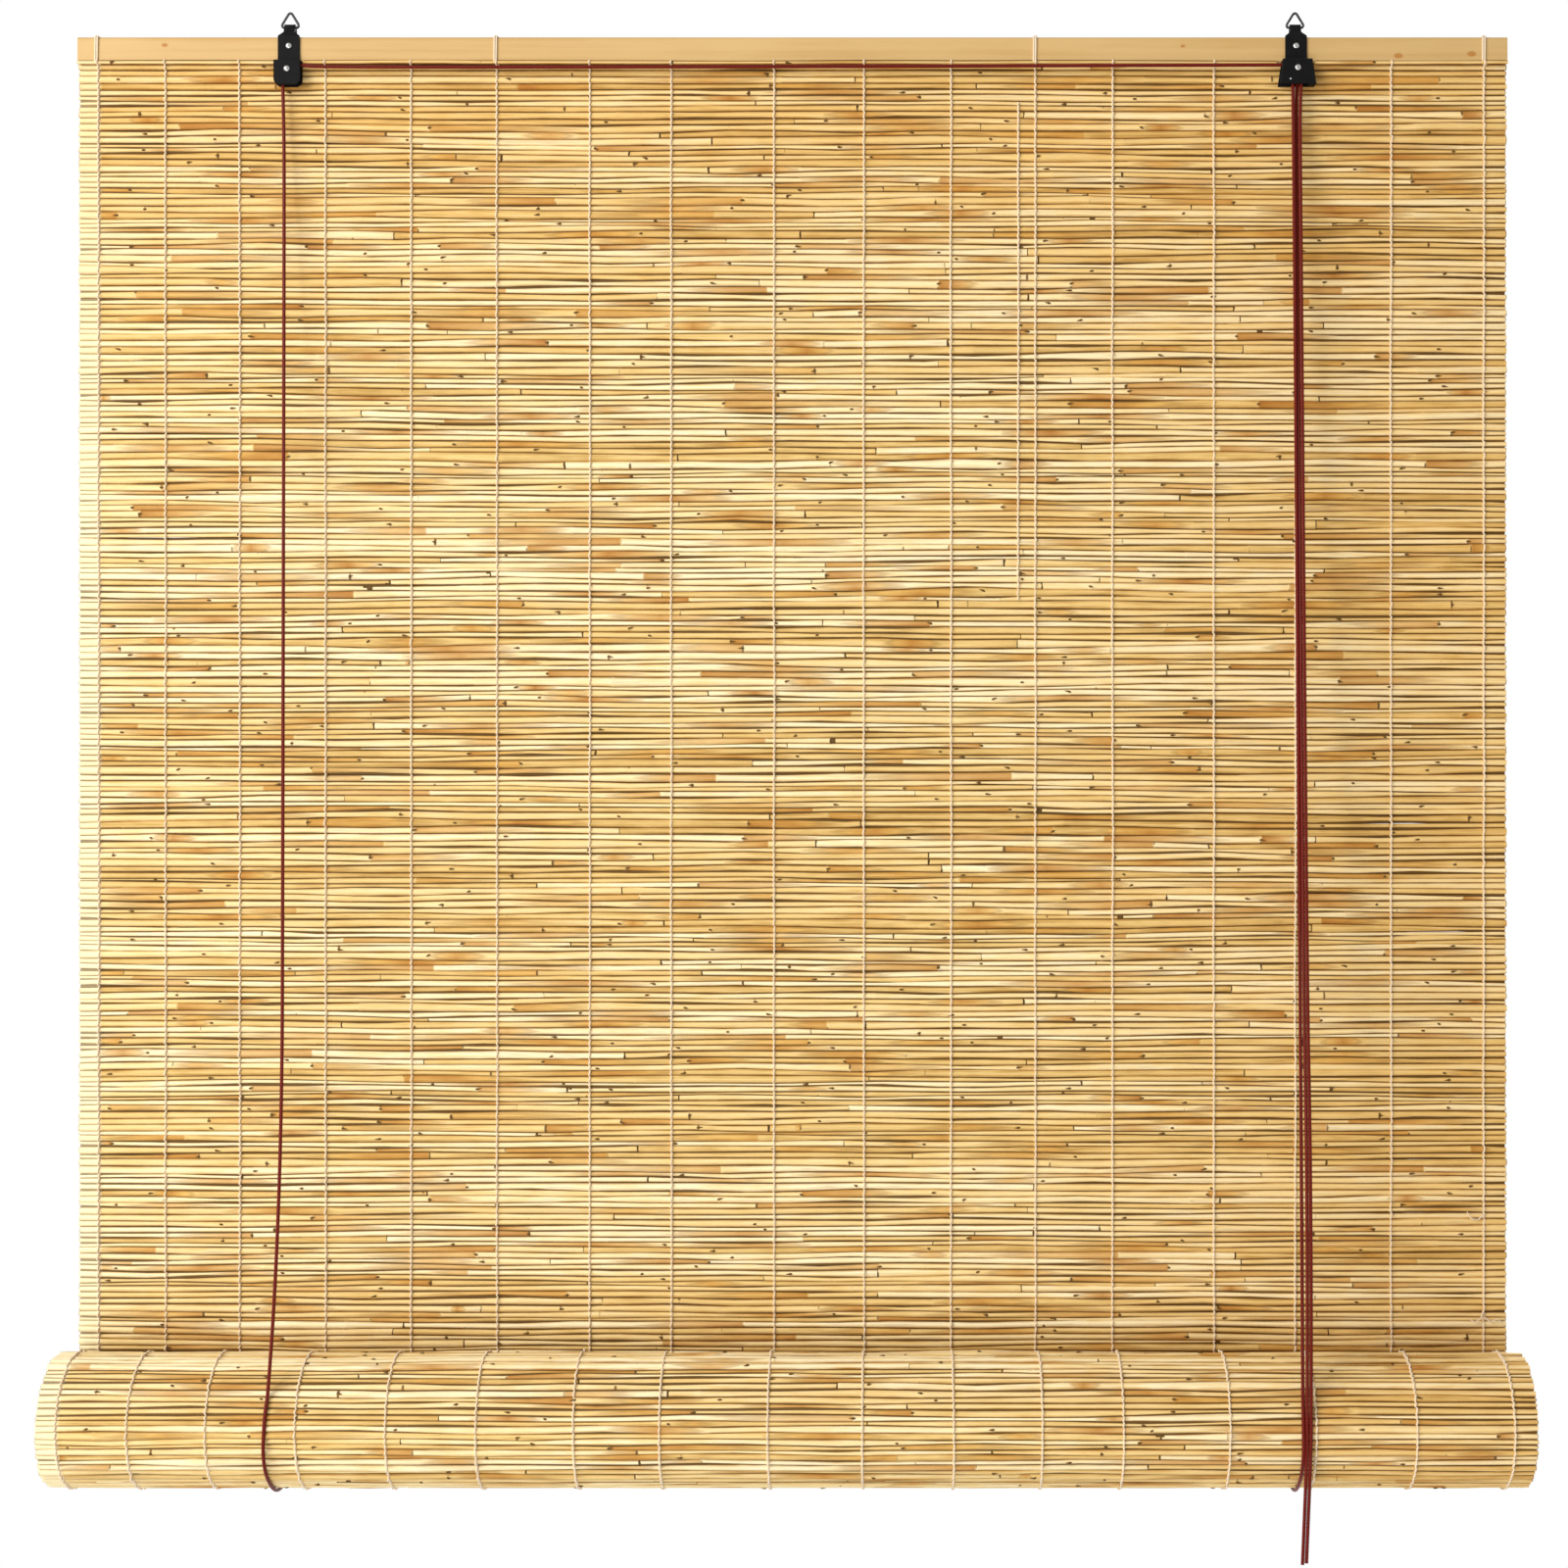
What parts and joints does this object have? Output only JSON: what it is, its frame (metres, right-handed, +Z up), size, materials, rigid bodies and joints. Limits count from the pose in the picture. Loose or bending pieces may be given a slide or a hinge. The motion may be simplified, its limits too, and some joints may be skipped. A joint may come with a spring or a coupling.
{
  "type": "reed roll-up blind",
  "caption": "Roll-up blind of twine-bound reeds on a wooden batten, hung by wire rings, drawn up by lift cords through pulleys and a cord lock.",
  "frame": {"origin": "midway between the two points where the rings bear on their wall hooks", "axes": "+X along the blind to the right as seen from the room, +Y towards the window, +Z up"},
  "size_m": [1, 0.1026, 1.0588],
  "materials": {
    "batten_wood": "bare planed softwood",
    "reed": "dry reed, slightly glossy",
    "twine": "spun cotton",
    "black_steel": "satin black",
    "wire": "darkened wire",
    "nickel": "nickel plated",
    "wheel_plastic": "moulded",
    "cord": "glossy braid"
  },
  "bodies": {
    "head": {"head_batten": "batten_wood", "batten_ties": "twine", "left_hanger_strap": "black_steel", "right_hanger_strap": "black_steel", "strap_rivets": "nickel", "pulley_rivets": "nickel", "left_pulley_housing": "black_steel", "right_lock_housing": "black_steel", "mat_panel": "reed", "mat_twine": "twine", "left_front_cord": "cord", "right_front_cord": "cord", "left_rear_cord": "cord", "right_rear_cord": "cord", "cord_knots": "cord", "cross_cord": "cord", "pull_run_1": "cord", "pull_run_2": "cord"},
    "left_ring": {"left_ring": "wire"},
    "right_ring": {"right_ring": "wire"},
    "left_pulley": {"left_pulley_wheel": "wheel_plastic"},
    "right_pulley": {"right_pulley_wheel": "wheel_plastic"},
    "lock_roller": {"lock_roller": "nickel"},
    "slings": {"lift_cord_slings": "cord", "pull_tail_1": "cord", "pull_tail_2": "cord"},
    "roll": {"mat_roll": "reed", "bottom_batten": "batten_wood"}
  },
  "joints": [
    {"name": "left_ring_swing", "type": "hinge", "parent": "head", "child": "left_ring", "pos_m": [-0.352, 0, -0.00906], "axis": [1, 0, 0], "range_deg": [-90, 90]},
    {"name": "right_ring_swing", "type": "hinge", "parent": "head", "child": "right_ring", "pos_m": [0.352, 0, -0.00906], "axis": [1, 0, 0], "range_deg": [-90, 90]},
    {"name": "left_pulley_spin", "type": "hinge", "parent": "head", "child": "left_pulley", "pos_m": [-0.352, 0, -0.0406], "axis": [0, 1, 0], "continuous": true},
    {"name": "right_pulley_spin", "type": "hinge", "parent": "head", "child": "right_pulley", "pos_m": [0.352, 0, -0.0406], "axis": [0, 1, 0], "continuous": true},
    {"name": "lock_roller_slide", "type": "slide", "parent": "head", "child": "lock_roller", "axis": [0.1464, 0, -0.9892], "range_m": [0, 0.004]},
    {"name": "roll_lift", "type": "slide", "parent": "head", "child": "slings", "axis": [0, 0, 1], "range_m": [0, 0.8], "deforming": ["mat_panel", "mat_twine", "left_front_cord", "right_front_cord", "pull_run_1", "pull_run_2", "left_rear_cord", "right_rear_cord"]},
    {"name": "roll_turn", "type": "hinge", "parent": "slings", "child": "roll", "pos_m": [0, -0.0442, -0.9716], "axis": [-1, 0, 0], "range_deg": [0, 1040]}
  ],
  "couplings": [
    {"joint": "roll_turn", "follows": "roll_lift", "rad_per_m": 22.624}
  ]
}
